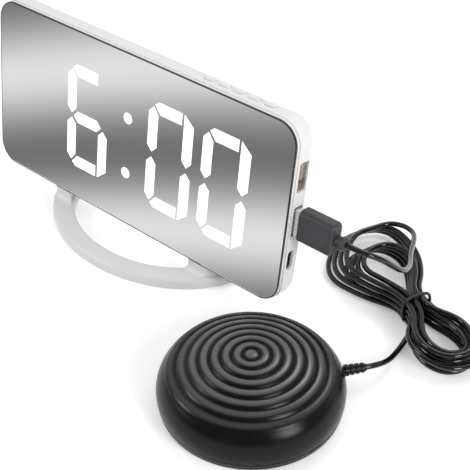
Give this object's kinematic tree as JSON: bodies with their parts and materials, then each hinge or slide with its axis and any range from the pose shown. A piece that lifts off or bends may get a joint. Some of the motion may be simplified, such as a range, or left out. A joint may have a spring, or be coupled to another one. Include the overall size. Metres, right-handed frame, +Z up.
{
  "type": "bed shaker alarm clock",
  "caption": "Mirror-faced digital alarm clock leaning back on an oval ring stand, wired by a USB plug and a tied cord to a round ridged vibration puck for under a pillow.",
  "frame": {"origin": "middle of the stand's front band, on its underside where it meets the table", "axes": "+X to the clock's right as its front is looked at, along its width; -Y the way the face looks; +Z up from the table"},
  "size_m": [0.258, 0.1612, 0.0937],
  "materials": {
    "white_gloss": "satin gloss",
    "stand_white": "satin gloss",
    "mirror": "mirror",
    "lit_white": "lit",
    "dark_plastic": "matte",
    "light_plastic": "matte",
    "board_green": "solder mask",
    "bright_steel": "nickel plated",
    "tongue_amber": "satin",
    "puck_black": "satin",
    "cord_black": "satin gloss",
    "motor_steel": "plated",
    "weight_brass": "turned"
  },
  "bodies": {
    "clock": {"mirror_panel": "mirror", "digit_segments": "lit_white", "colon_dots": "lit_white", "segment_mask": "dark_plastic", "led_chips": "light_plastic", "display_board": "board_green", "front_frame": "dark_plastic", "case_shell": "white_gloss", "case_screws": "bright_steel", "port_board": "board_green", "usb_socket_upper": "bright_steel", "usb_tongue_upper": "tongue_amber", "usb_socket_lower": "bright_steel", "usb_tongue_lower": "tongue_amber", "power_socket": "bright_steel", "power_tongue": "dark_plastic", "button_board": "board_green", "tact_switches": "dark_plastic", "buzzer": "dark_plastic", "cell_holder": "dark_plastic", "coin_cell": "bright_steel", "battery_door": "white_gloss", "door_screw": "bright_steel", "stand": "stand_white"},
    "shaker": {"puck_cover": "puck_black", "puck_base": "puck_black", "cover_screws": "bright_steel", "motor_can": "motor_steel", "motor_clamp": "bright_steel", "clamp_screws": "bright_steel", "strain_relief": "cord_black", "cord_puck_lead": "cord_black", "cord_hank": "cord_black", "cord_tie": "cord_black", "cord_plug_lead": "cord_black", "plug_overmold": "puck_black", "plug_shell": "bright_steel", "plug_insulator": "light_plastic"},
    "rotor": {"motor_shaft": "motor_steel", "eccentric_weight": "weight_brass"},
    "button_1": {"top_button_1": "white_gloss"},
    "button_2": {"top_button_2": "white_gloss"},
    "button_3": {"top_button_3": "white_gloss"},
    "button_4": {"top_button_4": "white_gloss"},
    "button_5": {"top_button_5": "white_gloss"}
  },
  "joints": [
    {"name": "plug_slide", "type": "slide", "parent": "clock", "child": "shaker", "axis": [1, 0, 0], "range_m": [0, 0.03]},
    {"name": "rotor_spin", "type": "hinge", "parent": "shaker", "child": "rotor", "pos_m": [0.1092, -0.0214, 0.0113], "axis": [1, 0, 0], "continuous": true},
    {"name": "button_1_press", "type": "slide", "parent": "clock", "child": "button_1", "axis": [0, -0.1426, -0.9898], "range_m": [0, 0.0005], "stiffness_N_per_m": 400},
    {"name": "button_2_press", "type": "slide", "parent": "clock", "child": "button_2", "axis": [0, -0.1426, -0.9898], "range_m": [0, 0.0005], "stiffness_N_per_m": 400},
    {"name": "button_3_press", "type": "slide", "parent": "clock", "child": "button_3", "axis": [0, -0.1426, -0.9898], "range_m": [0, 0.0005], "stiffness_N_per_m": 400},
    {"name": "button_4_press", "type": "slide", "parent": "clock", "child": "button_4", "axis": [0, -0.1426, -0.9898], "range_m": [0, 0.0005], "stiffness_N_per_m": 400},
    {"name": "button_5_press", "type": "slide", "parent": "clock", "child": "button_5", "axis": [0, -0.1426, -0.9898], "range_m": [0, 0.0005], "stiffness_N_per_m": 400}
  ]
}
